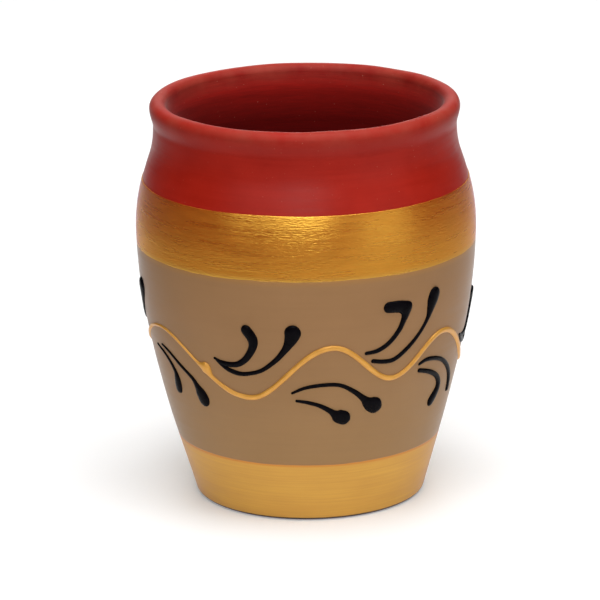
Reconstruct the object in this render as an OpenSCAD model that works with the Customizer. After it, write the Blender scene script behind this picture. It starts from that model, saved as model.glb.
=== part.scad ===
// Clay kulhad: a wheel-thrown terracotta tea cup with a rolled lip, three painted bands,
// a trailed wave line round the belly and trailed black strokes above and below the wave.
// Millimetres, +Z up, origin at the centre of the foot. Angles run from the front (-Y) to the right.

/* [Clay body] */
// Height from the foot to the top of the lip
cup_h = 87; // [84:0.5:92]
// Radius of the foot before its edge is rounded
foot_r = 24.7; // [23:0.1:27]
// Radius of the rounded edge under the foot
foot_edge_r = 0.9; // [0.5:0.1:1.5]
// Steepness of the wall just above the foot, as a share of its mean flare up to the belly
foot_flare_share = 1.415; // [1:0.005:1.8]
// Height of the widest point of the belly, as a share of the height of the cup
belly_z_share = 0.683; // [0.63:0.001:0.71]
// Radius of the clay at the belly
belly_r = 36.45; // [35:0.05:38]
// Depth of the middle of the shoulder below the top of the lip
shoulder_drop = 12.5; // [11:0.5:14]
// How much narrower than the belly the clay is there, on its radius
shoulder_inset = 2.95; // [2.3:0.05:3.5]
// Steepness of the shoulder there, as a share of its mean fall from the belly to the neck
shoulder_fall_share = 1.92; // [1.1:0.01:2.4]
// Depth of the neck below the top of the lip
neck_drop = 5.9; // [5:0.1:7.5]
// How much narrower than the belly the neck is, on its radius
neck_inset = 3.95; // [3.6:0.05:4.9]
// How far the lip stands out beyond the neck
lip_out = 0.8; // [0.4:0.05:1.6]
// Thickness of the rounded lip
lip_t = 3.8; // [3:0.1:5]
// Thickness of the wall at the belly
wall_t = 4.2; // [3.2:0.1:6]
// Thickness of the wall where it meets the floor
base_wall_t = 5.6; // [4:0.1:8]
// Thickness of the floor
floor_t = 6.5; // [4:0.5:10]
// Radius of the fillet between the floor and the wall inside
floor_fillet_r = 9; // [4:0.5:14]

/* [Painted bands] */
// Thickness of each painted coat
coat_t = 0.15; // [0.1:0.05:0.4]
// Height of the bare clay collar, from the top of the lip down
collar_h = 17.2; // [16:0.2:20]
// Height of the gold band round the shoulder
shoulder_band_h = 13.7; // [10:0.1:18]
// Height of the gold band above the rounded edge of the foot
foot_band_h = 12.65; // [8:0.05:16]

/* [Wave line] */
// Width of the trailed wave line where it begins, after the drop
wave_w = 1.2; // [0.8:0.1:2]
// Width of the wave line where it ends, before the drop
wave_end_w = 0.6; // [0.4:0.1:1.2]
// Height of the wave line above the paint
wave_relief = 0.45; // [0.3:0.05:0.8]
// Width of the drop where the two ends of the wave line meet
wave_drop_w = 2.8; // [1.6:0.1:3.4]

/* [Black strokes] */
// Width across the round head of the widest stroke, as a share of the height of the belly band
head_w_share = 0.0845; // [0.06:0.0005:0.1]
// Height of that head above the paint
head_relief = 0.65; // [0.4:0.05:0.9]
// Angle round the cup from a wave trough to the furthest head above it
upper_reach_angle = 18.9; // [15:0.1:22]
// Height of a full upper stroke above its wave trough, as a share of the height of the belly band
upper_rise_share = 0.38; // [0.36:0.005:0.43]
// Angle round the cup from a wave crest to the furthest head below it
lower_reach_angle = 18.9; // [15:0.1:22]
// Depth of a full lower stroke below its wave crest, as a share of the height of the belly band
lower_drop_share = 0.38; // [0.36:0.005:0.43]

/* [Hidden] */
$fn = 96;

// Gap that keeps a trailed bead just clear of the paint that it lies on
seat_gap = 0.03;

// Steps of the curves
lip_steps = 14;
fillet_steps = 10;
edge_steps = 4;
foot_band_steps = 6;
belly_band_steps = 18;
shoulder_band_steps = 9;
collar_steps = 14;
inner_steps = 28;
wave_steps = 144;
stroke_steps = 24;

// Heights that the pieces share
belly_z = cup_h * belly_z_share;
lip_z = cup_h - lip_t / 2;
shoulder_z = cup_h - shoulder_drop;
neck_z = cup_h - neck_drop;
foot_band_top = foot_edge_r + foot_band_h;
shoulder_band_top = cup_h - collar_h;
belly_band_top = shoulder_band_top - shoulder_band_h;
belly_band_h = belly_band_top - foot_band_top;

// Radii, slopes and widths that follow from the sizes
shoulder_r = belly_r - shoulder_inset;
neck_r = belly_r - neck_inset;
lip_r = neck_r + lip_out;
foot_flare = foot_flare_share * (belly_r - foot_r) / belly_z;
shoulder_fall = shoulder_fall_share * neck_inset / (neck_z - belly_z);
head_w = head_w_share * belly_band_h;

// Turns of the wave line, trough and crest by turns: angle from the front, share of the belly band
wave_turn_angles = [-22.5, 8.5, 32, 54.5, 90, 119, 147, 174, 202, 230, 259, 297.5];
wave_turn_shares = [0.37, 0.65, 0.45, 0.631, 0.357, 0.645, 0.42, 0.65, 0.39, 0.64, 0.44, 0.645];
wave_drop_angle = -39.5;
wave_drop_spread_angle = 2.2;

// Angles at which the pairs of strokes stand, above the troughs and below the crests
upper_short_angles = [-24, 31.5, 82, 146, 201, 256];
upper_long_angles = [-24, 31.5, 82, 146, 201, 263];
lower_angles = [8, 54, 119, 174, 230, 297.4];
pairs = len(lower_angles);

// Patterns of the strokes, from tail to head: shares of the reach, of the rise or drop, of the head width
curl_shares = [
    [-0.57, 0.505, 0.16],
    [-0.4, 0.457, 0.31],
    [-0.12, 0.46, 0.36],
    [0.085, 0.55, 0.41],
    [0.235, 0.71, 0.5],
    [0.258, 0.84, 0.66],
    [0.15, 0.966, 0.68]
];
sweep_shares = [
    [-0.35, 0.38, 0.2],
    [-0.2, 0.352, 0.3],
    [0.01, 0.335, 0.28],
    [0.36, 0.4, 0.26],
    [0.64, 0.545, 0.31],
    [0.8, 0.67, 0.38],
    [0.9, 0.775, 0.54],
    [0.97, 0.88, 0.84],
    [1, 0.955, 1.03]
];
// The hook has a corner on its right side: its fourth share is how much further it reaches there
hook_shares = [
    [-0.575, 0.41, 0.23, 0],
    [-0.34, 0.43, 0.29, 0],
    [-0.115, 0.52, 0.32, 0],
    [0.065, 0.665, 0.35, 0],
    [0.155, 0.8, 0.42, 0],
    [0.178, 0.881, 0.53, 0.09],
    [0.155, 0.936, 0.64, 0.33],
    [0.096, 0.978, 0.69, 0.12],
    [0.007, 1.002, 0.75, 0],
    [-0.172, 1.012, 0.7, 0]
];
tall_shares = [
    [-0.43, 0.287, 0.27],
    [-0.2, 0.257, 0.28],
    [0.035, 0.268, 0.3],
    [0.325, 0.4, 0.31],
    [0.567, 0.565, 0.26],
    [0.735, 0.74, 0.33],
    [0.8, 0.89, 0.68],
    [0.832, 0.975, 0.9],
    [0.87, 1.05, 0.92]
];
bow_shares = [
    [-0.735, 0.635, 0.16],
    [-0.47, 0.557, 0.23],
    [-0.1, 0.522, 0.25],
    [0.2, 0.543, 0.26],
    [0.47, 0.648, 0.31],
    [0.66, 0.757, 0.42],
    [0.76, 0.825, 0.72],
    [0.83, 0.858, 0.95],
    [0.93, 0.887, 1.06]
];
dip_shares = [
    [-0.655, 0.748, 0.18],
    [-0.44, 0.772, 0.24],
    [-0.2, 0.825, 0.28],
    [-0.01, 0.9, 0.36],
    [0.075, 0.945, 0.5],
    [0.155, 0.985, 0.86],
    [0.285, 1.017, 0.94]
];
bend_shares = [
    [-0.37, 0.315, 0.15],
    [-0.08, 0.387, 0.2],
    [0.12, 0.49, 0.26],
    [0.23, 0.6, 0.36],
    [0.25, 0.69, 0.64],
    [0.235, 0.78, 0.76],
    [0.22, 0.83, 0.7]
];
drift_shares = [
    [-0.12, 0.275, 0.15],
    [0.14, 0.33, 0.19],
    [0.48, 0.465, 0.24],
    [0.78, 0.6, 0.29],
    [0.885, 0.7, 0.5],
    [0.95, 0.785, 0.88],
    [1.01, 0.868, 0.98]
];
arch_shares = [
    [-0.52, 0.375, 0.2],
    [-0.33, 0.342, 0.27],
    [-0.06, 0.368, 0.29],
    [0.22, 0.438, 0.28],
    [0.5, 0.567, 0.34],
    [0.71, 0.72, 0.38],
    [0.81, 0.86, 0.42],
    [0.85, 0.965, 0.38]
];
fold_shares = [
    [-0.5, 0.468, 0.27],
    [-0.2, 0.533, 0.31],
    [0.06, 0.62, 0.34],
    [0.225, 0.728, 0.44],
    [0.26, 0.84, 0.58],
    [0.19, 0.93, 0.7],
    [0.1, 1, 0.74]
];
// Patterns that follow one another round the cup
upper_short_patterns = [curl_shares, hook_shares, curl_shares, curl_shares, hook_shares];
upper_long_patterns = [sweep_shares, tall_shares, sweep_shares, sweep_shares, tall_shares];
lower_long_patterns = [bow_shares, arch_shares, drift_shares];
lower_short_patterns = [dip_shares, fold_shares, bend_shares];

// Section of a bead: shares of its width across the line, and of its height off the paint
dome_shares = [[-0.5, 0], [-0.36, 0.7], [0, 1], [0.36, 0.7], [0.5, 0], [0, 0]];
sides = len(dome_shares);
// Angles of the rings that round off the two ends of a stroke
cap_angles = [15, 45, 70];

// Stations of the thrown outline: height, radius, and radius gained per unit of height
stations = [
    [0, foot_r, foot_flare],
    [belly_z, belly_r, 0],
    [shoulder_z, shoulder_r, -shoulder_fall],
    [neck_z, neck_r, 0],
    [lip_z, lip_r, 0]
];

// Radius of the clay's outside at height z, a smooth curve through the stations
function span_at(z, i = 0) = i < len(stations) - 2 && z > stations[i + 1][0] ? span_at(z, i + 1) : i;
function cubic(a, b, t) =
    let (h = b[0] - a[0])
    a[1] * (1 + 2 * t) * pow(1 - t, 2) + b[1] * t * t * (3 - 2 * t)
    + h * (a[2] * t * pow(1 - t, 2) - b[2] * t * t * (1 - t));
function outer_r(z) =
    let (i = span_at(z), a = stations[i], b = stations[i + 1])
    cubic(a, b, (z - a[0]) / (b[0] - a[0]));

// Radius of the clay's inside at height z, with the wall thinning from the floor to the lip
function ease(t) = t * t * (3 - 2 * t);
function wall(z) =
    z < belly_z
        ? base_wall_t + (wall_t - base_wall_t) * ease((z - floor_t) / (belly_z - floor_t))
        : wall_t + (lip_t - wall_t) * ease((z - belly_z) / (lip_z - belly_z));
function inner_r(z) = outer_r(z) - wall(z);

// Heights that the clay and the coat on it share, so that their faces meet
function heights(low, high, steps) = [for (i = [0 : steps]) low + (high - low) * i / steps];
foot_band_heights = heights(foot_edge_r, foot_band_top, foot_band_steps);
belly_band_heights = heights(foot_band_top, belly_band_top, belly_band_steps);
shoulder_band_heights = heights(belly_band_top, shoulder_band_top, shoulder_band_steps);
collar_heights = heights(shoulder_band_top, lip_z, collar_steps);
inner_heights = heights(lip_z, floor_t + floor_fillet_r, inner_steps);

function foot_edge(a) =
    let (z = foot_edge_r * (1 - sin(a)))
    [outer_r(z) - foot_edge_r * (1 - cos(a)), z];
function lip_roll(a) = [lip_r - lip_t / 2 + lip_t / 2 * cos(a), lip_z + lip_t / 2 * sin(a)];
function floor_fillet(a) =
    let (z = floor_t + floor_fillet_r * (1 - sin(a)))
    [inner_r(z) - floor_fillet_r * (1 - cos(a)), z];

module clay_body() {
    color("#9e3325")
    rotate_extrude()
    polygon(concat(
        [[0, 0]],
        [for (i = [0 : edge_steps - 1]) foot_edge(90 - 90 * i / edge_steps)],
        [for (z = foot_band_heights) [outer_r(z), z]],
        [for (i = [1 : belly_band_steps]) [outer_r(belly_band_heights[i]), belly_band_heights[i]]],
        [for (i = [1 : shoulder_band_steps]) [outer_r(shoulder_band_heights[i]), shoulder_band_heights[i]]],
        [for (i = [1 : collar_steps]) [outer_r(collar_heights[i]), collar_heights[i]]],
        [for (i = [1 : lip_steps]) lip_roll(180 * i / lip_steps)],
        [for (i = [1 : inner_steps]) [inner_r(inner_heights[i]), inner_heights[i]]],
        [for (i = [1 : fillet_steps]) floor_fillet(90 * i / fillet_steps)],
        [[0, floor_t]]
    ));
}

// One painted coat over a stretch of the clay's outside
module coat(band_heights) {
    last = len(band_heights) - 1;
    rotate_extrude()
    polygon(concat(
        [for (z = band_heights) [outer_r(z) + coat_t, z]],
        [for (i = [last : -1 : 0]) [outer_r(band_heights[i]), band_heights[i]]]
    ));
}

module shoulder_gold_band() {
    color("#b9822b") coat(shoulder_band_heights);
}

module belly_taupe_band() {
    color("#917555") coat(belly_band_heights);
}

module foot_gold_band() {
    color("#c59141") coat(foot_band_heights);
}

// Angle round the cup of a distance measured round the belly, and the distance of an angle
function turn(length) = length / belly_r * 180 / PI;
function arc(angle) = belly_r * angle * PI / 180;

// Point on the paint at an angle from the front and a height, lifted off it
function on_paint(angle, z, lift) =
    let (r = outer_r(z) + coat_t + seat_gap + lift)
    [r * sin(angle), -r * cos(angle), z];

// Ring of a bead across its line: heading is the line's direction, round the cup and upwards
function bead_ring(angle, z, heading, w, h) = [
    for (p = dome_shares)
    on_paint(angle - turn(p[0] * w * heading[1]), z + p[0] * w * heading[0], p[1] * h)
];
function unit(v) = v / norm(v);

// Triangles between ring i and ring k of a bead
function ring_faces(i, k) = [
    for (j = [0 : sides - 1])
    let (
        next = (j + 1) % sides,
        a = i * sides + j,
        b = i * sides + next,
        c = k * sides + j,
        d = k * sides + next
    )
    each [[a, b, c], [b, d, c]]
];
// Triangles that close an end ring, from the point under its middle
function end_faces(i) = [
    for (j = [0 : sides - 3])
    let (middle = i * sides + sides - 1)
    i == 0 ? [middle, j + 1, j] : [middle, i * sides + j, i * sides + j + 1]
];

// Height of the wave line at an angle in [first turn, first turn + 360]
turns = len(wave_turn_angles);
function turn_angle(i) = wave_turn_angles[i % turns] + 360 * floor(i / turns);
function turn_z(i) = foot_band_top + belly_band_h * wave_turn_shares[i % turns];
function turn_before(angle, i = 0) = angle >= turn_angle(i + 1) ? turn_before(angle, i + 1) : i;
function wave_z(angle) =
    let (i = turn_before(angle), t = (angle - turn_angle(i)) / (turn_angle(i + 1) - turn_angle(i)))
    turn_z(i) + (turn_z(i + 1) - turn_z(i)) * (1 - cos(180 * t)) / 2;

// The line is trailed once round from the drop and runs thin on the way back to it
function line_w(angle) =
    let (way = angle - wave_drop_angle - (angle < wave_drop_angle + 360 ? 0 : 360))
    wave_w + (wave_end_w - wave_w) * pow(way / 360, 3);

// The drop is a smooth swelling of the line, most of it above the line
function drop_share(angle) = exp(-pow((angle - wave_drop_angle - 360) / wave_drop_spread_angle, 2));
function line_z(angle) = wave_z(angle) + (wave_drop_w - wave_w) / 2 * drop_share(angle);

module wave_line() {
    step = 360 / wave_steps;
    angles = [for (i = [0 : wave_steps]) turn_angle(0) + i * step];
    line = [for (a = angles) [arc(a), line_z(a)]];
    rings = [
        for (i = [0 : wave_steps - 1])
        let (
            before = i == 0 ? line[wave_steps - 1] - [arc(360), 0] : line[i - 1],
            trail_w = line_w(angles[i]),
            w = trail_w + (wave_drop_w - trail_w) * drop_share(angles[i])
        )
        bead_ring(angles[i], line[i][1], unit(line[i + 1] - before), w, wave_relief * sqrt(w / wave_w))
    ];
    color("#d79c3c")
    polyhedron(
        [for (ring = rings) each ring],
        [for (i = [0 : wave_steps - 1]) each ring_faces(i, (i + 1) % wave_steps)]
    );
}

// Point of a smooth curve through rows of shares, t counting the rows from the tail
function curve_at(rows, t) =
    let (
        last = len(rows) - 1,
        i = min(floor(t), last - 1),
        u = t - i,
        a = rows[max(i - 1, 0)],
        b = rows[i],
        c = rows[i + 1],
        d = rows[min(i + 2, last)]
    )
    b + (c - a) * u / 2 + (2 * a - 5 * b + 4 * c - d) * u * u / 2 + (3 * b - a - 3 * c + d) * pow(u, 3) / 2;

// One trailed stroke: it stands at an angle from the front, and its shares count from base_z
module stroke(rows, angle, base_z, reach_angle, rise) {
    reach = arc(reach_angle);
    line = [
        for (i = [0 : stroke_steps])
        let (p = curve_at(rows, (len(rows) - 1) * i / stroke_steps))
        [p[0] * reach, p[1] * rise, p[2] * head_w, len(p) > 3 ? p[3] * head_w : 0]
    ];
    headings = [
        for (i = [0 : stroke_steps])
        let (d = line[min(i + 1, stroke_steps)] - line[max(i - 1, 0)])
        unit([d[0], d[1]])
    ];
    tail = [
        for (a = cap_angles)
        let (w = line[0][2], h = headings[0])
        [line[0][0] - h[0] * w / 2 * cos(a), line[0][1] - h[1] * w / 2 * cos(a), w * sin(a), h]
    ];
    body = [
        for (i = [0 : stroke_steps])
        let (p = line[i], h = headings[i], corner = p[3])
        [p[0] + h[1] * corner / 2, p[1] - h[0] * corner / 2, p[2] + corner, h]
    ];
    head = [
        for (i = [len(cap_angles) - 1 : -1 : 0])
        let (p = line[stroke_steps], w = p[2], h = headings[stroke_steps], a = cap_angles[i])
        [p[0] + h[0] * w / 2 * cos(a), p[1] + h[1] * w / 2 * cos(a), w * sin(a), h]
    ];
    rings = [
        for (p = concat(tail, body, head))
        bead_ring(angle + turn(p[0]), base_z + p[1], p[3], p[2], head_relief * sqrt(p[2] / head_w))
    ];
    last = len(rings) - 1;
    color("#17130f")
    polyhedron(
        [for (ring = rings) each ring],
        concat(
            [for (i = [0 : last - 1]) each ring_faces(i, i + 1)],
            end_faces(0),
            end_faces(last)
        )
    );
}

// Upper strokes stand on the wave's troughs and lower ones hang from its crests
module upper_stroke(patterns, angles, i) {
    rows = patterns[(i - 1) % len(patterns)];
    stroke(rows, angles[i - 1], turn_z(2 * i - 2), upper_reach_angle, upper_rise_share * belly_band_h);
}

module lower_stroke(patterns, i) {
    rows = patterns[(i - 1) % len(patterns)];
    stroke(rows, lower_angles[i - 1], turn_z(2 * i - 1), lower_reach_angle, -lower_drop_share * belly_band_h);
}

clay_body();
shoulder_gold_band();
belly_taupe_band();
foot_gold_band();
wave_line();
for (i = [1 : pairs]) {
    union() {
        upper_stroke(upper_short_patterns, upper_short_angles, i);
    }
    union() {
        upper_stroke(upper_long_patterns, upper_long_angles, i);
    }
    lower_stroke(lower_long_patterns, i);
    lower_stroke(lower_short_patterns, i);
}
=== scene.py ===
import math

import bpy
from mathutils import Matrix, Vector, noise


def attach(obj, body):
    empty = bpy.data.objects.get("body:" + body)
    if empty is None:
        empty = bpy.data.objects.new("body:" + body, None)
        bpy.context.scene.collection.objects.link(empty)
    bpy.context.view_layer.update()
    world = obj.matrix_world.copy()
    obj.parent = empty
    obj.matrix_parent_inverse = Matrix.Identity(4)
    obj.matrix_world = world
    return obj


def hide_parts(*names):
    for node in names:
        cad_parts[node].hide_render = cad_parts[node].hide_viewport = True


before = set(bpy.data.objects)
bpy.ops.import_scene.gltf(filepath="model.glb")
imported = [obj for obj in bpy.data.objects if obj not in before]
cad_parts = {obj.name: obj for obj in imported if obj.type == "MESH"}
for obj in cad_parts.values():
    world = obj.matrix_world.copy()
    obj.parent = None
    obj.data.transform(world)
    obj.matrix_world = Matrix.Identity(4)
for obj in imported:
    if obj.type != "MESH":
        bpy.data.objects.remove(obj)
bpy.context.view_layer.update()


# Viewpoint: a long lens about a metre away and a little above the lip, held a touch off level.
# The cup sits slightly right of and above the middle of the square picture.
eye_distance = 1.0
eye_pitch = math.radians(16.19)
eye_roll = math.radians(0.75)
aim_point = Vector((0, 0, 0.0435))
aim_right_of_middle = 0.00149
aim_above_middle = 0.00171

level = Vector((1, 0, 0))
upward = Vector((0, math.sin(eye_pitch), math.cos(eye_pitch)))
onward = Vector((0, math.cos(eye_pitch), -math.sin(eye_pitch)))
eye_right = math.cos(eye_roll) * level - math.sin(eye_roll) * upward
eye_top = math.sin(eye_roll) * level + math.cos(eye_roll) * upward
eye_place = (
    aim_point - eye_distance * onward - aim_right_of_middle * eye_right - aim_above_middle * eye_top
)

eye = bpy.data.objects.new("eye", bpy.data.cameras.new("eye"))
eye.data.sensor_width = 36
eye.data.lens = 278.1
eye.data.clip_start = 0.01
eye.data.clip_end = 50
eye_axes = Matrix((eye_right, eye_top, -onward)).transposed()
eye.matrix_world = Matrix.Translation(eye_place) @ eye_axes.to_4x4()
bpy.context.scene.collection.objects.link(eye)
bpy.context.scene.camera = eye


# Clay body: one piece of red terracotta thrown on a wheel, cut off with a string and fired.
# Its outside is smoothed with a rib, the lip is rolled over a wet finger, and the inside keeps
# the spiral that the potter's fingers left. The collar and the inside stay bare.
cup_height = 0.087
foot_edge = 0.0009
lip_thickness = 0.0038
lip_height = cup_height - lip_thickness / 2
floor_thickness = 0.0065
floor_fillet = 0.009
belly_height = 0.05942
belly_radius = 0.03645
wall_at_floor = 0.0056
wall_at_belly = 0.0042
collar_foot = 0.0698
around = 224
turns = [2 * math.pi * j / around for j in range(around)]

# Height, radius, and radius gained per unit of height, from the foot to the lip
outline_stations = (
    (0.0, 0.0247, 0.28),
    (belly_height, belly_radius, 0.0),
    (0.0745, 0.0335, -0.35),
    (0.0811, 0.0325, 0.0),
    (lip_height, 0.0333, 0.0),
)


def thrown_radius(z):
    """Radius of the outside at a height, on smooth curves between the stations."""
    for low, high in zip(outline_stations, outline_stations[1:]):
        if z <= high[0]:
            break
    rise = high[0] - low[0]
    t = (z - low[0]) / rise
    ends = low[1] * (1 + 2 * t) * (1 - t) ** 2 + high[1] * t * t * (3 - 2 * t)
    return ends + rise * (low[2] * t * (1 - t) ** 2 - high[2] * t * t * (1 - t))


def ease(t):
    """Goes smoothly from 0 to 1."""
    t = min(max(t, 0.0), 1.0)
    return t * t * (3 - 2 * t)


def wall_thickness(z):
    """Thick at the floor, thinner at the belly and thinnest at the lip."""
    if z < belly_height:
        share = ease((z - floor_thickness) / (belly_height - floor_thickness))
        return wall_at_floor + (wall_at_belly - wall_at_floor) * share
    share = ease((z - belly_height) / (lip_height - belly_height))
    return wall_at_belly + (lip_thickness - wall_at_belly) * share


def clay_radius(z):
    """Radius of the outside, with the rounded edge under the foot."""
    if z >= foot_edge:
        return thrown_radius(z)
    return thrown_radius(z) - foot_edge + math.sqrt(foot_edge ** 2 - (foot_edge - z) ** 2)


sway_depth = 0.00004
most_swing = 1.6
foot_flat_depth = 0.0004
foot_flat_height = 0.02
foot_flat_angle = math.radians(-80)


def hand_sway(angle, z):
    """How far the hand-thrown wall strays inwards from a true circle.

    The foot is a little flat at its left.
    """
    swing = math.sin(2 * angle + 40 * z + 0.6) + 0.6 * math.sin(3 * angle - 55 * z + 2.1)
    flat_side = max(math.cos(angle - foot_flat_angle), 0.0) ** 3
    low_down = 1 - ease(z / foot_flat_height)
    return sway_depth * (swing - most_swing) - foot_flat_depth * flat_side * low_down


def round_cup(angle, radius, z):
    """Angles run from the front of the cup to its right."""
    return (radius * math.sin(angle), -radius * math.cos(angle), z)


def heights(low, high, steps):
    return [low + (high - low) * i / steps for i in range(steps + 1)]


def shaped_mesh(name, points, faces, sharp_angle):
    """A smooth piece whose edges stay sharp above an angle in degrees."""
    mesh = bpy.data.meshes.new(name)
    mesh.from_pydata(points, [], faces)
    mesh.polygons.foreach_set("use_smooth", [True] * len(mesh.polygons))
    mesh.set_sharp_from_angle(angle=math.radians(sharp_angle))
    mesh.update()
    piece = bpy.data.objects.new(name, mesh)
    bpy.context.scene.collection.objects.link(piece)
    return piece


def turned_faces(rings):
    """Quads between rings of points that each go once round the cup."""
    faces = []
    for i in range(rings - 1):
        a, b = i * around, (i + 1) * around
        for j in range(around):
            k = (j + 1) % around
            faces.append((a + j, a + k, b + k, b + j))
    return faces


string_centre = (0.012, 0.034)
string_pitch = 0.0026
string_depth = 0.00005


def string_cut(x, y):
    """Shallow curved marks that the string leaves in the underside."""
    reach = math.hypot(x - string_centre[0], y - string_centre[1])
    wander = 1.4 * noise.noise((x * 90, y * 90, 0.3))
    return string_depth * (1 + math.sin(reach / string_pitch * 2 * math.pi + wander))


lip_dip_depth = 0.00013
lip_dips_from = 0.079
lip_dips_grow = 0.006


def lip_slip(angle, z):
    """Small dips along the hand-rolled lip."""
    round_lip = (math.sin(angle) * 3.1, math.cos(angle) * 3.1, z * 60)
    return lip_dip_depth * ease((z - lip_dips_from) / lip_dips_grow) * (noise.noise(round_lip) - 0.8)


finger_pitch = 0.0034
finger_depth = 0.00003
ridges_fade_from = 0.066
ridges_fade_over = 0.016


def finger_ridge(angle, z):
    """Spiral ridges inside, fading out towards the lip."""
    wave = math.sin(2 * math.pi * z / finger_pitch + angle)
    uneven = 1 + 0.6 * noise.noise((math.sin(angle) * 2, math.cos(angle) * 2, z * 120))
    fade = 1 - 0.75 * ease((z - ridges_fade_from) / ridges_fade_over)
    return finger_depth * wave * uneven * fade


underside_rings = 30
string_fade_rings = 6
foot_edge_steps = 8
wall_rings = 36
collar_rings = 56
lip_steps = 24
inside_rings = 140
fillet_steps = 18
floor_rings = 20
rib_depth = 0.00001
rib_radius = 0.03

# From the middle of the underside, up the outside, over the lip and down to the middle of the floor
clay_points = []
underside_reach = thrown_radius(0) - foot_edge
for ring in range(1, underside_rings + 1):
    radius = underside_reach * ring / underside_rings
    fade = ease((underside_rings - ring) / string_fade_rings)
    for a in turns:
        x, y, _ = round_cup(a, radius, 0)
        clay_points.append((x, y, string_cut(x, y) * fade))
for step in range(1, foot_edge_steps + 1):
    z = foot_edge * (1 - math.cos(math.radians(90 / foot_edge_steps * step)))
    clay_points += [round_cup(a, clay_radius(z) + hand_sway(a, z), z) for a in turns]
outside = heights(foot_edge, collar_foot, wall_rings)[1:]
outside += heights(collar_foot, lip_height, collar_rings)[1:]
for z in outside:
    rib = rib_depth if z > collar_foot else 0.0
    for a in turns:
        x, y, _ = round_cup(a, rib_radius, z)
        mark = rib * noise.noise((x * 70, y * 70, z * 900))
        clay_points.append(round_cup(a, thrown_radius(z) + hand_sway(a, z) + lip_slip(a, z) + mark, z))
lip_middle = thrown_radius(lip_height) - lip_thickness / 2
for step in range(1, lip_steps + 1):
    roll = math.pi * step / lip_steps
    radius = lip_middle + lip_thickness / 2 * math.cos(roll)
    z = lip_height + lip_thickness / 2 * math.sin(roll)
    for a in turns:
        slip = lip_slip(a, z)
        reach = radius + hand_sway(a, lip_height) + slip * math.cos(roll)
        clay_points.append(round_cup(a, reach, z + slip * math.sin(roll)))
inside = heights(lip_height, floor_thickness + floor_fillet, inside_rings)[1:]
for z in inside:
    for a in turns:
        radius = thrown_radius(z) - wall_thickness(z) + hand_sway(a, z)
        clay_points.append(round_cup(a, radius + finger_ridge(a, z), z))
for step in range(1, fillet_steps + 1):
    roll = math.radians(90 / fillet_steps * step)
    z = floor_thickness + floor_fillet * (1 - math.sin(roll))
    radius = thrown_radius(z) - wall_thickness(z) - floor_fillet * (1 - math.cos(roll))
    for a in turns:
        ridge = finger_ridge(a, floor_thickness + floor_fillet - roll * floor_fillet)
        reach = radius + (hand_sway(a, z) + ridge) * math.cos(roll)
        clay_points.append(round_cup(a, reach, z - ridge * math.sin(roll)))
floor_reach = thrown_radius(floor_thickness) - wall_thickness(floor_thickness) - floor_fillet
for ring in range(floor_rings - 1, 0, -1):
    radius = floor_reach * ring / floor_rings
    for a in turns:
        ridge = finger_depth * math.sin(2 * math.pi * (floor_reach - radius) / finger_pitch - a)
        clay_points.append(round_cup(a, radius, floor_thickness - ridge * ring / floor_rings))
clay_rings = len(clay_points) // around
clay_faces = turned_faces(clay_rings)
hubs = (((0, 0, string_depth), 0), ((0, 0, floor_thickness), (clay_rings - 1) * around))
for middle, ring_start in hubs:
    hub = len(clay_points)
    clay_points.append(middle)
    for j in range(around):
        k = (j + 1) % around
        pair = (ring_start + j, ring_start + k)
        clay_faces.append((hub, *pair[::-1]) if ring_start == 0 else (hub, *pair))
clay = shaped_mesh("clay_cup", clay_points, clay_faces, sharp_angle=60)


def new_finish(name):
    finish = bpy.data.materials.new(name)
    finish.use_nodes = True
    return finish, finish.node_tree.nodes["Principled BSDF"]


def grain(finish, stretch, detail=3.0, roughness=0.55, tilt=0.0):
    """Cloudy grain fixed to the cup; stretch is how many grains there are to a metre each way."""
    nodes, links = finish.node_tree.nodes, finish.node_tree.links
    place = nodes.new("ShaderNodeTexCoord")
    size = nodes.new("ShaderNodeMapping")
    size.inputs["Scale"].default_value = stretch
    size.inputs["Rotation"].default_value = (0, math.radians(tilt), 0)
    cloud = nodes.new("ShaderNodeTexNoise")
    cloud.inputs["Scale"].default_value = 1.0
    cloud.inputs["Detail"].default_value = detail
    cloud.inputs["Roughness"].default_value = roughness
    links.new(place.outputs["Object"], size.inputs["Vector"])
    links.new(size.outputs["Vector"], cloud.inputs["Vector"])
    return cloud.outputs["Fac"]


def shades(finish, amount, stops):
    """Colours along a ramp, each with its place on it."""
    ramp = finish.node_tree.nodes.new("ShaderNodeValToRGB")
    marks = ramp.color_ramp.elements
    while len(marks) < len(stops):
        marks.new(0.5)
    for mark, (place, colour) in zip(marks, stops):
        mark.position = place
        mark.color = (*colour, 1)
    finish.node_tree.links.new(amount, ramp.inputs["Fac"])
    return ramp.outputs["Color"]


def blended(finish, amount, under, over, way="MIX"):
    """One colour or amount laid over another; each is a link or a value."""
    mix = finish.node_tree.nodes.new("ShaderNodeMix")
    mix.data_type = "RGBA"
    mix.blend_type = way
    for socket, value in ((mix.inputs[0], amount), (mix.inputs[6], under), (mix.inputs[7], over)):
        if isinstance(value, bpy.types.NodeSocket):
            finish.node_tree.links.new(value, socket)
        else:
            socket.default_value = value if isinstance(value, float) else (*value, 1)
    return mix.outputs[2]


def stretched(finish, amount, low, high, from_low=0.3, from_high=0.7):
    """An amount between two limits spread over a range of values."""
    span = finish.node_tree.nodes.new("ShaderNodeMapRange")
    span.inputs["From Min"].default_value = from_low
    span.inputs["From Max"].default_value = from_high
    span.inputs["To Min"].default_value = low
    span.inputs["To Max"].default_value = high
    finish.node_tree.links.new(amount, span.inputs["Value"])
    return span.outputs["Result"]


def relief(finish, amount, depth, under=None):
    """Fine relief of the surface; depth is in metres."""
    bump = finish.node_tree.nodes.new("ShaderNodeBump")
    bump.inputs["Strength"].default_value = 1.0
    bump.inputs["Distance"].default_value = depth
    finish.node_tree.links.new(amount, bump.inputs["Height"])
    if under is not None:
        finish.node_tree.links.new(under, bump.inputs["Normal"])
    return bump.outputs["Normal"]


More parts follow.
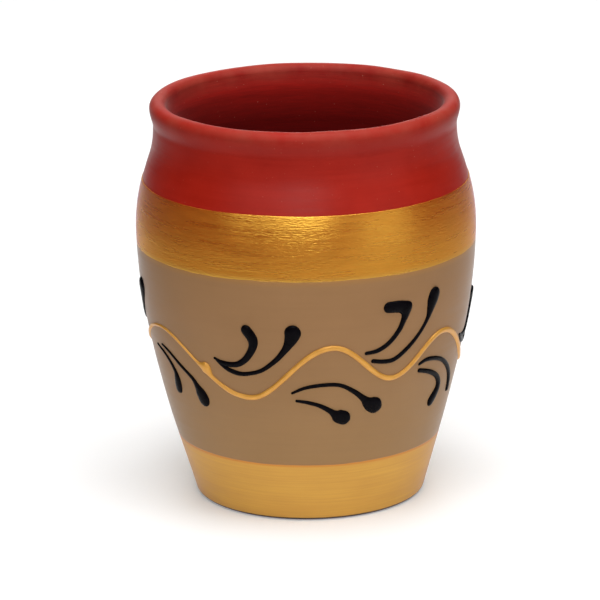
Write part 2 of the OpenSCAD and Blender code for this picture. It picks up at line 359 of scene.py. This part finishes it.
def height_up_cup(finish):
    """Height above the table, in metres."""
    place = finish.node_tree.nodes.new("ShaderNodeTexCoord")
    parts = finish.node_tree.nodes.new("ShaderNodeSeparateXYZ")
    finish.node_tree.links.new(place.outputs["Object"], parts.inputs["Vector"])
    return parts.outputs["Z"]


def reach_from_axis(finish):
    """Distance from the axis of the cup, and the share of it that the surface faces outwards."""
    nodes, links = finish.node_tree.nodes, finish.node_tree.links
    place = nodes.new("ShaderNodeTexCoord")
    level = nodes.new("ShaderNodeVectorMath")
    level.operation = "MULTIPLY"
    level.inputs[1].default_value = (1, 1, 0)
    reach = nodes.new("ShaderNodeVectorMath")
    reach.operation = "LENGTH"
    facing = nodes.new("ShaderNodeVectorMath")
    facing.operation = "DOT_PRODUCT"
    links.new(place.outputs["Object"], level.inputs[0])
    links.new(level.outputs["Vector"], reach.inputs[0])
    links.new(level.outputs["Vector"], facing.inputs[0])
    links.new(place.outputs["Normal"], facing.inputs[1])
    return reach.outputs["Value"], facing.outputs["Value"]


def dusted(shader, weight, tint):
    """A fine dust or haze that greys a surface where it turns away."""
    shader.inputs["Sheen Weight"].default_value = weight
    shader.inputs["Sheen Roughness"].default_value = 0.3
    shader.inputs["Sheen Tint"].default_value = (*tint, 1)


terracotta, clay_shader = new_finish("bare_terracotta")
rib_lines = grain(terracotta, (55, 55, 1500), detail=4)
mottle = grain(terracotta, (130, 130, 130), detail=5)
sand = grain(terracotta, (2100, 2100, 2100), detail=1)
rib_red = shades(terracotta, rib_lines, ((0.3, (0.33, 0.0095, 0.003)), (0.7, (0.40, 0.0135, 0.005))))
mottled_red = shades(terracotta, mottle, ((0.3, (0.32, 0.0085, 0.0025)), (0.7, (0.42, 0.0155, 0.006))))
clay_red = blended(terracotta, 0.5, rib_red, mottled_red)
# The inside and the underside, which the rib does not reach, are painted a deep red that darkens down into
# the cup and under it: painted shade of the cup's depth. The distance from the axis and how far the surface
# faces outwards tell them from the rest
unribbed_reach = (0.0255, 0.0275)
unribbed_facing = (-0.024, -0.006)
inside_shade_heights = (0.071, 0.084)
up_cup = height_up_cup(terracotta)
from_axis, facing_out = reach_from_axis(terracotta)
unribbed = blended(
    terracotta, 1.0,
    stretched(terracotta, from_axis, 1.0, 0.0, *unribbed_reach),
    stretched(terracotta, facing_out, 1.0, 0.0, *unribbed_facing), "LIGHTEN",
)
# Painted shade: darkest at the floor of the cup and under it, lighter towards the lip
shade_lifts_towards_lip = stretched(terracotta, up_cup, 0.0, 1.0, *inside_shade_heights)
painted_shade_red = blended(terracotta, shade_lifts_towards_lip, (0.155, 0.0003, 0.0001), (0.27, 0.005, 0.002))
finger_lines = grain(terracotta, (170, 170, 2900), detail=3, roughness=0.65)
finger_tone = shades(terracotta, finger_lines, ((0.35, (0.88, 0.88, 0.88)), (0.65, (1.12, 1.12, 1.12))))
painted_shade_red = blended(terracotta, 1.0, painted_shade_red, finger_tone, "MULTIPLY")
clay_red = blended(terracotta, unribbed, clay_red, painted_shade_red)
# The top of the lip is paler and duller in patches, and grains of sand show all over
paler_lip_heights = (0.0825, 0.086)
lip_patches = grain(terracotta, (150, 150, 150), detail=3)
on_lip = stretched(terracotta, up_cup, 0.0, 1.0, *paler_lip_heights)
paler_lip_patches = blended(terracotta, 1.0, on_lip, stretched(terracotta, lip_patches, 0.0, 0.7), "MULTIPLY")
clay_red = blended(terracotta, paler_lip_patches, clay_red, (0.38, 0.05, 0.03))
pale_sand = shades(terracotta, sand, ((0.76, (0, 0, 0)), (0.81, (0.4, 0.4, 0.4))))
clay_red = blended(terracotta, pale_sand, clay_red, (0.62, 0.25, 0.18))
links = terracotta.node_tree.links
links.new(clay_red, clay_shader.inputs["Base Color"])
clay_rough = stretched(terracotta, rib_lines, 0.36, 0.46)
clay_rough = blended(terracotta, unribbed, clay_rough, (0.95, 0.95, 0.95))
clay_rough = blended(terracotta, on_lip, clay_rough, (0.62, 0.62, 0.62))
links.new(clay_rough, clay_shader.inputs["Roughness"])
clay_shader.inputs["Specular IOR Level"].default_value = 0.2
dusted(clay_shader, 0.13, (1.0, 0.92, 0.92))
clay_skin = relief(terracotta, rib_lines, 0.00001)
clay_skin = relief(terracotta, sand, 0.00001, clay_skin)
finger_height = blended(terracotta, unribbed, (0.5, 0.5, 0.5), finger_lines)
clay_skin = relief(terracotta, finger_height, 0.000015, clay_skin)
links.new(clay_skin, clay_shader.inputs["Normal"])

clay.data.materials.append(terracotta)
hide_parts("clay_body")
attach(clay, "root")


# Gold band round the shoulder: metallic gold paint brushed on by hand while the cup turns.
# The bristles leave fine streaks round the cup, and the coat thins out at its two edges.
coat_thickness = 0.00015
coat_edge = 0.0003
coat_inner_rows = 24
streak_radius = 0.035
shoulder_low = 0.0561
shoulder_high = collar_foot
thin_edge_width = 0.0011


def brush_edge(angle, height, sway):
    """Height of a hand-brushed edge, which wavers a little on its way round."""
    waver = noise.noise((math.sin(angle) * 2.4, math.cos(angle) * 2.4, height * 300))
    ragged = noise.noise((math.sin(angle) * 16, math.cos(angle) * 16, height * 700))
    return height + sway * (0.7 * waver + 0.3 * ragged)


def painted_coat(name, low, high, low_sway, high_sway, rows, streak_depth, streak_pitch):
    """One coat over the clay from low to high, closed on its inner side."""

    def coat_height(a, share):
        return brush_edge(a, low, low_sway) * (1 - share) + brush_edge(a, high, high_sway) * share

    points = []
    edge_share = coat_edge / (high - low)
    outer = [0.0, edge_share / 3, edge_share] + heights(2 * edge_share, 1 - 2 * edge_share, rows)
    outer += [1 - edge_share, 1 - edge_share / 3, 1.0]
    for share in outer:
        near_edge = min(share, 1 - share) / edge_share
        build = 0.8 + 0.2 * min(near_edge, 1.0) ** 0.5
        for a in turns:
            z = coat_height(a, share)
            x, y, _ = round_cup(a, streak_radius, z)
            streak = noise.noise((x * 75, y * 75, z / streak_pitch)) - 0.6
            lift = coat_thickness * build + streak_depth * streak * min(near_edge, 1.0)
            points.append(round_cup(a, clay_radius(z) + hand_sway(a, z) + lift, z))
    inner = heights(1.0, 0.0, coat_inner_rows)
    for share in inner:
        for a in turns:
            z = coat_height(a, share)
            points.append(round_cup(a, clay_radius(z) + hand_sway(a, z), z))
    rings = len(outer) + len(inner)
    faces = turned_faces(rings)
    last = (rings - 1) * around
    faces += [(last + j, last + (j + 1) % around, (j + 1) % around, j) for j in range(around)]
    return shaped_mesh(name, points, faces, sharp_angle=75)


shoulder_band = painted_coat(
    "shoulder_gold_coat", shoulder_low, shoulder_high, low_sway=0.0003, high_sway=0.0001,
    rows=64, streak_depth=0.000014, streak_pitch=0.0007,
)

shoulder_gold, gold_shader = new_finish("brushed_shoulder_gold")
bristles = grain(shoulder_gold, (230, 230, 3600), detail=4, roughness=0.6, tilt=4)
long_streaks = grain(shoulder_gold, (80, 80, 900), detail=4, roughness=0.6, tilt=4)
dabs = grain(shoulder_gold, (850, 850, 3500), detail=2, tilt=8)
ground = blended(
    shoulder_gold, 0.5,
    shades(shoulder_gold, long_streaks, ((0.3, (0.40, 0.059, 0.003)), (0.7, (0.55, 0.098, 0.005)))),
    shades(shoulder_gold, bristles, ((0.3, (0.38, 0.055, 0.003)), (0.7, (0.57, 0.102, 0.005)))),
)
links = shoulder_gold.node_tree.links
# The coat thins out over the taupe at its lower edge
up_shoulder = height_up_cup(shoulder_gold)
thin_edge = stretched(shoulder_gold, up_shoulder, 0.75, 0.0, shoulder_low, shoulder_low + thin_edge_width)
ground = blended(shoulder_gold, thin_edge, ground, (0.40, 0.15, 0.045))
links.new(ground, gold_shader.inputs["Base Color"])
links.new(stretched(shoulder_gold, long_streaks, 0.24, 0.36), gold_shader.inputs["Roughness"])
# Mica flakes in an orange ground: a strong yellow gloss over a deep orange body
gold_shader.inputs["IOR"].default_value = 2.8
gold_shader.inputs["Specular IOR Level"].default_value = 1.0
gold_shader.inputs["Specular Tint"].default_value = (0.97, 0.63, 0.09, 1)
gold_shader.inputs["Anisotropic"].default_value = 0.3
dusted(gold_shader, 0.45, (0.5, 0.48, 0.95))
gold_skin = relief(shoulder_gold, bristles, 0.000018)
gold_skin = relief(shoulder_gold, dabs, 0.00007, gold_skin)
links.new(gold_skin, gold_shader.inputs["Normal"])

shoulder_band.data.materials.append(shoulder_gold)
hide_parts("shoulder_gold_band")
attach(shoulder_band, "root")


# Taupe band round the belly: a matt earth-brown paint brushed on thinly, so that faint brush
# marks stay. It is a little greener lower down, and along its upper edge a warm undercoat shows.
belly_low = 0.01355
belly_high = shoulder_low
greener_fade = (0.016, 0.046)
warm_edge_fade = (belly_high - 0.0013, belly_high - 0.0001)
belly_band = painted_coat(
    "belly_taupe_coat", belly_low, belly_high, low_sway=0.0002, high_sway=0.0003,
    rows=88, streak_depth=0.000008, streak_pitch=0.0011,
)

belly_taupe, taupe_shader = new_finish("matt_belly_taupe")
brush_marks = grain(belly_taupe, (40, 40, 800), detail=4)
clouds = grain(belly_taupe, (70, 70, 70), detail=4)
pores = grain(belly_taupe, (1800, 1800, 1800), detail=1)
taupe = shades(belly_taupe, brush_marks, ((0.3, (0.318, 0.163, 0.064)), (0.7, (0.348, 0.181, 0.073))))
taupe = blended(
    belly_taupe, 0.5, taupe,
    shades(belly_taupe, clouds, ((0.3, (0.313, 0.161, 0.063)), (0.7, (0.353, 0.184, 0.075)))),
)
up_belly = height_up_cup(belly_taupe)
down_belly = stretched(belly_taupe, up_belly, 1.0, 0.0, *greener_fade)
taupe = blended(belly_taupe, down_belly, taupe, (0.93, 0.995, 0.95), "MULTIPLY")
warm_edge = stretched(belly_taupe, up_belly, 0.0, 0.9, *warm_edge_fade)
taupe = blended(belly_taupe, warm_edge, taupe, (0.395, 0.19, 0.055))
links = belly_taupe.node_tree.links
links.new(taupe, taupe_shader.inputs["Base Color"])
links.new(stretched(belly_taupe, brush_marks, 0.50, 0.62), taupe_shader.inputs["Roughness"])
taupe_shader.inputs["Specular IOR Level"].default_value = 0.3
dusted(taupe_shader, 0.38, (0.92, 0.94, 1.0))
taupe_skin = relief(belly_taupe, brush_marks, 0.000008)
taupe_skin = relief(belly_taupe, pores, 0.000006, taupe_skin)
links.new(taupe_skin, taupe_shader.inputs["Normal"])

belly_band.data.materials.append(belly_taupe)
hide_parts("belly_taupe_band")
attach(belly_band, "root")


# Gold band round the foot: the same gold paint in a smoother, more even coat, brushed down over
# the rounded edge that the cup stands on, which is painted near black as the shadow where it meets the table.
# Its top edge is more orange.
foot_low = 0.00012
shadow_rim_fade = (0.00045, 0.0007)
orange_fade = (belly_low - 0.0006, belly_low - 0.0003)
foot_band = painted_coat(
    "foot_gold_coat", foot_low, belly_low, low_sway=0.0, high_sway=0.0002,
    rows=48, streak_depth=0.000008, streak_pitch=0.0006,
)

foot_gold, foot_shader = new_finish("brushed_foot_gold")
foot_bristles = grain(foot_gold, (40, 40, 2600), detail=3, roughness=0.6)
foot_clouds = grain(foot_gold, (60, 60, 240), detail=3)
foot_cover = blended(
    foot_gold, 0.5,
    shades(foot_gold, foot_clouds, ((0.3, (0.58, 0.58, 0.58)), (0.7, (0.74, 0.74, 0.74)))),
    shades(foot_gold, foot_bristles, ((0.3, (0.54, 0.54, 0.54)), (0.7, (0.78, 0.78, 0.78)))),
)
foot_colour = shades(foot_gold, foot_cover, ((0.15, (0.27, 0.05, 0.004)), (0.95, (0.80, 0.49, 0.10))))
up_foot = height_up_cup(foot_gold)
# Painted shadow: the rim where the cup meets the table is near black, dull and not metallic
painted_shadow_rim = stretched(foot_gold, up_foot, 1.0, 0.0, *shadow_rim_fade)
foot_colour = blended(foot_gold, painted_shadow_rim, foot_colour, (0.02, 0.011, 0.009))
orange_edge = stretched(foot_gold, up_foot, 0.0, 0.6, *orange_fade)
foot_colour = blended(foot_gold, orange_edge, foot_colour, (0.55, 0.17, 0.035))
foot_metal = stretched(foot_gold, foot_cover, 0.15, 1.0, 0.2, 0.9)
foot_metal = blended(foot_gold, painted_shadow_rim, foot_metal, (0, 0, 0))
foot_rough = stretched(foot_gold, foot_bristles, 0.42, 0.52)
foot_rough = blended(foot_gold, painted_shadow_rim, foot_rough, (0.9, 0.9, 0.9))
links = foot_gold.node_tree.links
links.new(foot_colour, foot_shader.inputs["Base Color"])
links.new(foot_metal, foot_shader.inputs["Metallic"])
links.new(foot_rough, foot_shader.inputs["Roughness"])
foot_shader.inputs["Anisotropic"].default_value = 0.3
dusted(foot_shader, 0.2, (0.4, 0.35, 0.9))
links.new(relief(foot_gold, foot_bristles, 0.000008), foot_shader.inputs["Normal"])

foot_band.data.materials.append(foot_gold)
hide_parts("foot_gold_band")
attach(foot_band, "root")


# Wave line: golden relief paint squeezed from a fine nozzle in one pass round the belly, so that
# it stands up as a round bead. A drop is left where its two ends meet.
belly_tall = belly_high - belly_low
line_width = 0.0012
line_end_width = 0.0006
line_height = 0.00045
line_lumps = 0.1
line_waver = 0.00006
bead_sink = 0.00004
wave_steps = 720
# The drop is longer on the side where the line ends, and the new line starts a little thin after it
drop_width = 0.0028
drop_angle = math.radians(320.5)
drop_spread = math.radians(2.2)
drop_front_spread = math.radians(1.3)
line_start_share = 0.8
start_way = 0.03
# Troughs and crests by turns: degrees from the front, share of the height of the taupe band
wave_turns = (
    (-22.5, 0.37), (8.5, 0.65), (32, 0.45), (54.5, 0.631), (90, 0.357), (119, 0.645),
    (147, 0.42), (174, 0.65), (202, 0.39), (230, 0.64), (259, 0.44), (297.5, 0.645),
)
# Across a bead: share of its width, share of its height
bead_section = [
    (share, (1 - abs(2 * share) ** 2.4) ** 0.6)
    for share in (-0.5, -0.485, -0.45, -0.39, -0.3, -0.2, -0.1, 0, 0.1, 0.2, 0.3, 0.39, 0.45, 0.485, 0.5)
]


def turn_height(i):
    """Height of a trough or crest of the line, counted from its start."""
    return belly_low + belly_tall * wave_turns[i % len(wave_turns)][1]


def wave_height(angle):
    """Height of the line, rising and falling evenly from turn to turn."""
    marks = [math.radians(a) for a, _ in wave_turns] + [math.radians(wave_turns[0][0] + 360)]
    i = max(k for k in range(len(wave_turns)) if angle >= marks[k] - 1e-9)
    t = (angle - marks[i]) / (marks[i + 1] - marks[i])
    return turn_height(i) + (turn_height(i + 1) - turn_height(i)) * (1 - math.cos(math.pi * t)) / 2


def bead_ring(angle, z, heading, width, height):
    """Points across a bead; heading is the way its line runs, round the cup and upwards."""
    ring = []
    for share, rise in bead_section:
        a = angle - share * width * heading[1] / belly_radius
        up = z + share * width * heading[0]
        lift = coat_thickness + height * rise - (bead_sink if rise == 0 else 0)
        ring.append(round_cup(a, thrown_radius(up) + hand_sway(a, up) + lift, up))
    return ring


def bead_mesh(name, rings, closed):
    """A bead through its rings, closed on itself or capped at both ends."""
    across = len(bead_section)
    points = [p for ring in rings for p in ring]
    faces = []
    for i in range(len(rings) if closed else len(rings) - 1):
        a, b = i * across, (i + 1) % len(rings) * across
        for j in range(across - 1):
            faces.append((a + j, b + j, b + j + 1, a + j + 1))
        faces.append((a + across - 1, b + across - 1, b, a))
    if not closed:
        faces.append(tuple(range(across)))
        faces.append(tuple(range(len(points) - 1, len(points) - across - 1, -1)))
    return shaped_mesh(name, points, faces, sharp_angle=55)


wave_path = []
for i in range(wave_steps):
    a = math.radians(wave_turns[0][0]) + 2 * math.pi * i / wave_steps
    spread = drop_spread if a < drop_angle else drop_front_spread
    swell = math.exp(-(((a - drop_angle) / spread) ** 2))
    lump = noise.noise((math.sin(a) * 14, math.cos(a) * 14, 0.5))
    way = (a - drop_angle) / (2 * math.pi) % 1
    trail = (line_width + (line_end_width - line_width) * way ** 3) * (1 + line_lumps * lump)
    trail *= line_start_share + (1 - line_start_share) * ease(way / start_way)
    width = trail + (drop_width - trail) * swell
    height = line_height * math.sqrt(width / line_width)
    z = wave_height(a) + (drop_width - line_width) / 2 * swell
    z += line_waver * noise.noise((math.sin(a) * 7, math.cos(a) * 7, 4.0))
    wave_path.append((a, z, width, height))
wave_rings = []
for i, (a, z, width, height) in enumerate(wave_path):
    before, after = wave_path[i - 1], wave_path[(i + 1) % wave_steps]
    run = belly_radius * ((after[0] - before[0]) % (2 * math.pi))
    heading = Vector((run, after[1] - before[1])).normalized()
    wave_rings.append(bead_ring(a, z, heading, width, height))
wave_line = bead_mesh("wave_line_bead", wave_rings, closed=True)

wave_gold, wave_shader = new_finish("golden_relief_paint")
pearl = grain(wave_gold, (420, 420, 420), detail=3)
specks = grain(wave_gold, (2600, 2600, 2600), detail=1)
wave_colour = shades(wave_gold, pearl, ((0.3, (0.64, 0.29, 0.04)), (0.7, (0.76, 0.37, 0.06))))
links = wave_gold.node_tree.links
links.new(wave_colour, wave_shader.inputs["Base Color"])
links.new(stretched(wave_gold, pearl, 0.28, 0.42), wave_shader.inputs["Roughness"])
wave_shader.inputs["Metallic"].default_value = 0.25
links.new(relief(wave_gold, specks, 0.00001), wave_shader.inputs["Normal"])

wave_line.data.materials.append(wave_gold)
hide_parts("wave_line")
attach(wave_line, "root")


# Black strokes above the wave: comma strokes of black relief paint, each squeezed out by itself
# from a thin tail to a round head. A short and a long one stand in each trough.
head_width = 0.0036
head_height = 0.00065
stroke_reach = 0.01202
stroke_rise = 0.01617
steps_per_row = 16
cap_angles = (20, 40, 58, 74, 86)
# From tail to head: shares of the reach round the cup, of the rise, and of the head's width
curl = (
    (-0.57, 0.505, 0.16), (-0.4, 0.457, 0.31), (-0.12, 0.46, 0.36), (0.085, 0.55, 0.41), (0.235, 0.71, 0.5),
    (0.258, 0.84, 0.66), (0.15, 0.966, 0.68),
)
sweep = (
    (-0.55, 0.487, 0.1), (-0.4, 0.412, 0.24), (-0.22, 0.357, 0.32), (0.01, 0.335, 0.28), (0.36, 0.4, 0.26),
    (0.64, 0.545, 0.31), (0.8, 0.67, 0.38), (0.9, 0.775, 0.54), (0.97, 0.88, 0.84), (1.0, 0.955, 1.03),
)
# The hook has a corner on its right side: its fourth share is how much further it reaches there
hook = (
    (-0.575, 0.41, 0.23, 0), (-0.34, 0.43, 0.29, 0), (-0.115, 0.52, 0.32, 0), (0.065, 0.665, 0.35, 0),
    (0.155, 0.8, 0.42, 0), (0.178, 0.881, 0.53, 0.09), (0.155, 0.936, 0.64, 0.33), (0.096, 0.978, 0.69, 0.12),
    (0.007, 1.002, 0.75, 0), (-0.172, 1.012, 0.7, 0),
)
tall = (
    (-0.43, 0.287, 0.27), (-0.2, 0.257, 0.28), (0.035, 0.268, 0.3), (0.325, 0.4, 0.31), (0.567, 0.565, 0.26),
    (0.735, 0.74, 0.33), (0.8, 0.89, 0.68), (0.832, 0.975, 0.9), (0.87, 1.05, 0.92),
)
# Short stroke, long stroke, and the degrees from the front at which each of them stands
upper_pairs = (
    (curl, sweep, -24, -24), (hook, tall, 31.5, 31.5), (curl, sweep, 82, 82),
    (curl, sweep, 146, 146), (hook, tall, 201, 201), (curl, sweep, 256, 263),
)


def along_stroke(rows, t):
    """Point of a smooth curve through the rows, t counting them from the tail."""
    i = min(int(t), len(rows) - 2)
    u = t - i
    a, b, c, d = (Vector(rows[min(max(k, 0), len(rows) - 1)]) for k in range(i - 1, i + 3))
    squared = (2 * a - 5 * b + 4 * c - d) * u * u / 2
    cubed = (3 * b - a - 3 * c + d) * u ** 3 / 2
    return b + (c - a) * u / 2 + squared + cubed


def black_stroke(name, rows, angle, base, rise):
    """One bead through the rows, with rounded ends; base is the height that it rises or hangs from."""
    steps = steps_per_row * (len(rows) - 1)
    line = []
    for i in range(steps + 1):
        share = along_stroke(rows, (len(rows) - 1) * i / steps)
        corner = share[3] * head_width if len(share) > 3 else 0
        line.append((share[0] * stroke_reach, share[1] * rise, share[2] * head_width, corner))
    ways = []
    for i in range(steps + 1):
        after, before = line[min(i + 1, steps)], line[max(i - 1, 0)]
        ways.append(Vector((after[0] - before[0], after[1] - before[1])).normalized())
    rings = [
        (x + way[1] * corner / 2, z - way[0] * corner / 2, width + corner, way)
        for (x, z, width, corner), way in zip(line, ways)
    ]
    tail, head, first, last = line[0], line[-1], ways[0], ways[-1]
    for cap in cap_angles:
        c, s = math.cos(math.radians(90 - cap)), math.sin(math.radians(90 - cap))
        tail_x, tail_z = (tail[k] - first[k] * tail[2] / 2 * c for k in (0, 1))
        head_x, head_z = (head[k] + last[k] * head[2] / 2 * c for k in (0, 1))
        rings.insert(0, (tail_x, tail_z, tail[2] * s, first))
        rings.append((head_x, head_z, head[2] * s, last))
    mesh_rings = [
        bead_ring(
            math.radians(angle) + x / belly_radius, base + z, way, width,
            head_height * math.sqrt(width / head_width),
        )
        for x, z, width, way in rings
    ]
    return bead_mesh(name, mesh_rings, closed=False)


stroke_black, stroke_shader = new_finish("black_relief_paint")
skin = grain(stroke_black, (700, 700, 700), detail=2)
black = shades(stroke_black, skin, ((0.3, (0.0016, 0.0011, 0.0018)), (0.7, (0.003, 0.0022, 0.0034))))
links = stroke_black.node_tree.links
links.new(black, stroke_shader.inputs["Base Color"])
links.new(stretched(stroke_black, skin, 0.24, 0.34), stroke_shader.inputs["Roughness"])
stroke_shader.inputs["Specular IOR Level"].default_value = 0.04
links.new(relief(stroke_black, skin, 0.00001), stroke_shader.inputs["Normal"])


def lay_stroke(bead, node):
    """Gives a stroke its paint and puts it in the place of its node."""
    bead.data.materials.append(stroke_black)
    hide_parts(node)
    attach(bead, "root")


for i, (short_rows, long_rows, short_angle, long_angle) in enumerate(upper_pairs):
    base = turn_height(2 * i)
    short = black_stroke(f"upper_short_bead_{i + 1}", short_rows, short_angle, base, stroke_rise)
    lay_stroke(short, f"upper_short_stroke_{i + 1}")
    long = black_stroke(f"upper_long_bead_{i + 1}", long_rows, long_angle, base, stroke_rise)
    lay_stroke(long, f"upper_long_stroke_{i + 1}")


# Black strokes below the wave: the same paint and nozzle, hung under each crest, a long stroke
# with a round head and a short one beneath it.
bow = (
    (-0.735, 0.635, 0.16), (-0.47, 0.557, 0.23), (-0.1, 0.522, 0.25), (0.2, 0.543, 0.26), (0.47, 0.648, 0.31),
    (0.66, 0.757, 0.42), (0.76, 0.825, 0.72), (0.83, 0.858, 0.95), (0.93, 0.887, 1.06),
)
dip = (
    (-0.655, 0.748, 0.18), (-0.44, 0.772, 0.24), (-0.2, 0.825, 0.28), (-0.01, 0.9, 0.36), (0.075, 0.945, 0.5),
    (0.155, 0.985, 0.86), (0.285, 1.017, 0.94),
)
bend = (
    (-0.37, 0.315, 0.15), (-0.08, 0.387, 0.2), (0.12, 0.49, 0.26), (0.23, 0.6, 0.36), (0.25, 0.69, 0.64),
    (0.235, 0.78, 0.76), (0.22, 0.83, 0.7),
)
drift = (
    (-0.12, 0.275, 0.15), (0.14, 0.33, 0.19), (0.48, 0.465, 0.24), (0.78, 0.6, 0.29), (0.885, 0.7, 0.5),
    (0.95, 0.785, 0.88), (1.01, 0.868, 0.98),
)
arch = (
    (-0.52, 0.375, 0.2), (-0.33, 0.342, 0.27), (-0.06, 0.368, 0.29), (0.22, 0.438, 0.28), (0.5, 0.567, 0.34),
    (0.71, 0.72, 0.38), (0.81, 0.86, 0.42), (0.85, 0.965, 0.38),
)
fold = (
    (-0.5, 0.468, 0.27), (-0.2, 0.533, 0.31), (0.06, 0.62, 0.34), (0.225, 0.728, 0.44), (0.26, 0.84, 0.58),
    (0.19, 0.93, 0.7), (0.1, 1.0, 0.74),
)
# Long stroke, short stroke, and the degrees from the front at which the two hang
lower_pairs = (
    (bow, dip, 8), (arch, fold, 54), (drift, bend, 119),
    (bow, dip, 174), (arch, fold, 230), (drift, bend, 297.4),
)
for i, (long_rows, short_rows, angle) in enumerate(lower_pairs):
    base = turn_height(2 * i + 1)
    long = black_stroke(f"lower_long_bead_{i + 1}", long_rows, angle, base, -stroke_rise)
    lay_stroke(long, f"lower_long_stroke_{i + 1}")
    short = black_stroke(f"lower_short_bead_{i + 1}", short_rows, angle, base, -stroke_rise)
    lay_stroke(short, f"lower_short_stroke_{i + 1}")


# Studio: a white table top that glows faintly near the cup as painted light and turns grey away from it
# as painted shade, and soft lamps. A broad one hangs overhead, and smaller ones stand in front, at the left,
# low and high at the right, and behind.
table_reach = 1.6
table_sides = 64
table_gap = 0.00002
white_strip = 0.7
strip_widening = 0.25
grey_fade = (0.08, 0.2)
paler_turn = math.radians(60)
paler_fade = (0.05, 0.3)
table_points = [
    (table_reach * math.cos(a), table_reach * math.sin(a), -table_gap)
    for a in (2 * math.pi * k / table_sides for k in range(table_sides))
]
table = shaped_mesh("table_top", table_points, [tuple(range(table_sides))], sharp_angle=30)
table_white, table_shader = new_finish("white_table")
nodes, links = table_white.node_tree.nodes, table_white.node_tree.links
# How far a place lies from the strip behind the cup that stays white and widens on its way back
spot = nodes.new("ShaderNodeTexCoord")
parts = nodes.new("ShaderNodeSeparateXYZ")
links.new(spot.outputs["Object"], parts.inputs["Vector"])
behind = nodes.new("ShaderNodeClamp")
behind.inputs["Max"].default_value = white_strip
links.new(parts.outputs["Y"], behind.inputs["Value"])
strip = nodes.new("ShaderNodeCombineXYZ")
links.new(behind.outputs["Result"], strip.inputs["Y"])
away = nodes.new("ShaderNodeVectorMath")
away.operation = "DISTANCE"
links.new(spot.outputs["Object"], away.inputs[0])
links.new(strip.outputs["Vector"], away.inputs[1])
widening = nodes.new("ShaderNodeMath")
widening.operation = "MULTIPLY_ADD"
widening.inputs[1].default_value = -strip_widening
links.new(behind.outputs["Result"], widening.inputs[0])
links.new(away.outputs["Value"], widening.inputs[2])
# The painted shade is paler towards the front right: painted light on the table there
paler_way = nodes.new("ShaderNodeVectorMath")
paler_way.operation = "DOT_PRODUCT"
paler_way.inputs[1].default_value = (math.sin(paler_turn), -math.cos(paler_turn), 0)
links.new(spot.outputs["Object"], paler_way.inputs[0])
paler = stretched(table_white, paler_way.outputs["Value"], 0.0, 1.0, *paler_fade)
far_painted_shade = blended(table_white, paler, (0.2, 0.2, 0.2), (0.45, 0.45, 0.45))
# Painted shade: the table turns grey away from the white strip
painted_shade_away = stretched(table_white, widening.outputs["Value"], 0.0, 1.0, *grey_fade)
table_tone = blended(table_white, painted_shade_away, (0.88, 0.88, 0.88), far_painted_shade)
links.new(table_tone, table_shader.inputs["Base Color"])
# Painted light: the table glows faintly near the cup, though it is no lamp
painted_glow_near_cup = stretched(table_white, painted_shade_away, 0.18, 0.0, 0.0, 1.0)
links.new(painted_glow_near_cup, table_shader.inputs["Emission Strength"])
table_shader.inputs["Emission Color"].default_value = (1, 1, 1, 1)
table_shader.inputs["Roughness"].default_value = 0.7
table.data.materials.append(table_white)


lamp_distance = 1.3


def soft_lamp(name, turn, rise, wide, high, watts):
    """An area lamp aimed at the cup; turn is from the front to the right, rise is above the table."""
    lamp = bpy.data.objects.new(name, bpy.data.lights.new(name, "AREA"))
    lamp.data.shape = "RECTANGLE"
    lamp.data.size = wide
    lamp.data.size_y = high
    lamp.data.energy = watts
    turn, rise = math.radians(turn), math.radians(rise)
    way = Vector((math.sin(turn) * math.cos(rise), -math.cos(turn) * math.cos(rise), math.sin(rise)))
    lamp.location = aim_point + lamp_distance * way
    lamp.rotation_euler = way.to_track_quat("Z", "Y").to_euler()
    bpy.context.scene.collection.objects.link(lamp)


soft_lamp("lamp_overhead", turn=0, rise=82, wide=1.0, high=1.0, watts=17)
soft_lamp("lamp_front", turn=0, rise=26, wide=0.58, high=0.42, watts=4.3)
soft_lamp("lamp_left", turn=-36, rise=24, wide=0.8, high=0.4, watts=1.9)
soft_lamp("lamp_right", turn=53, rise=8, wide=0.9, high=0.45, watts=1.4)
soft_lamp("lamp_high_right", turn=74, rise=46, wide=0.7, high=0.5, watts=3.2)
soft_lamp("lamp_behind", turn=180, rise=25, wide=0.8, high=0.4, watts=3)

surround = bpy.data.worlds.new("studio_surround")
surround.use_nodes = True
surround.node_tree.nodes["Background"].inputs["Color"].default_value = (1, 1, 1, 1)
surround.node_tree.nodes["Background"].inputs["Strength"].default_value = 0.02
bpy.context.scene.world = surround
bpy.context.scene.view_settings.view_transform = "Standard"
